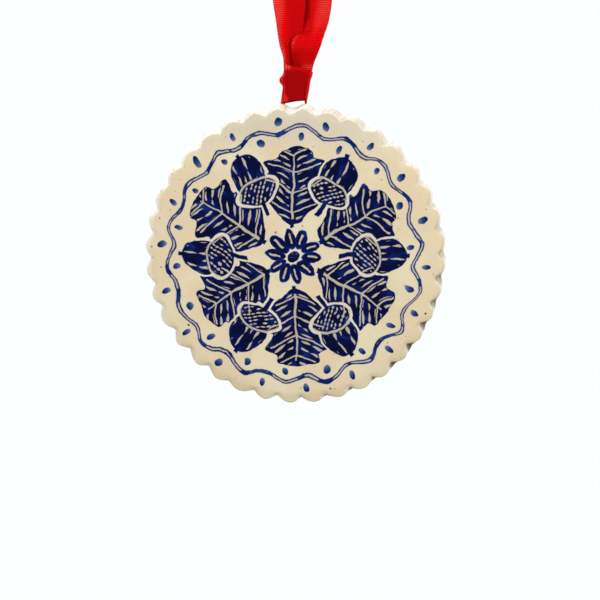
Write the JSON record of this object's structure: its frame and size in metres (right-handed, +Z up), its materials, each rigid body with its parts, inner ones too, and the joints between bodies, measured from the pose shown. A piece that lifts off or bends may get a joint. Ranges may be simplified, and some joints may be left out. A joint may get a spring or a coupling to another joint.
{
  "type": "hanging ceramic ornament",
  "caption": "Flat round ceramic ornament with a scalloped edge and a painted face, hung by a hitched ribbon loop through a strap lug on its back.",
  "frame": {"origin": "where a hook bears on the inside of the ribbon loop, at the top of the part", "axes": "+Z up along the ribbon, the painted face looks along -Y, +X to the right as the face is seen"},
  "size_m": [0.0896, 0.0203, 0.1491],
  "materials": {
    "glazed_clay": "gloss",
    "red_ribbon": "ribbed satin"
  },
  "bodies": {
    "ribbon_loop": {"ribbon_top_turn": "red_ribbon", "ribbon_left_leg": "red_ribbon", "ribbon_right_leg": "red_ribbon"},
    "hitch": {"ribbon_hitch": "red_ribbon", "ribbon_sling": "red_ribbon"},
    "ornament": {"scalloped_disc": "glazed_clay", "hanging_lug": "glazed_clay"}
  },
  "joints": [
    {"name": "ribbon_twist", "type": "hinge", "parent": "ribbon_loop", "child": "hitch", "pos_m": [0, 0, -0.048], "axis": [0, 0, 1], "range_deg": [-180, 180]},
    {"name": "disc_swing", "type": "hinge", "parent": "hitch", "child": "ornament", "pos_m": [0, 0, -0.0678], "axis": [1, 0, 0], "range_deg": [-8, 75]}
  ]
}
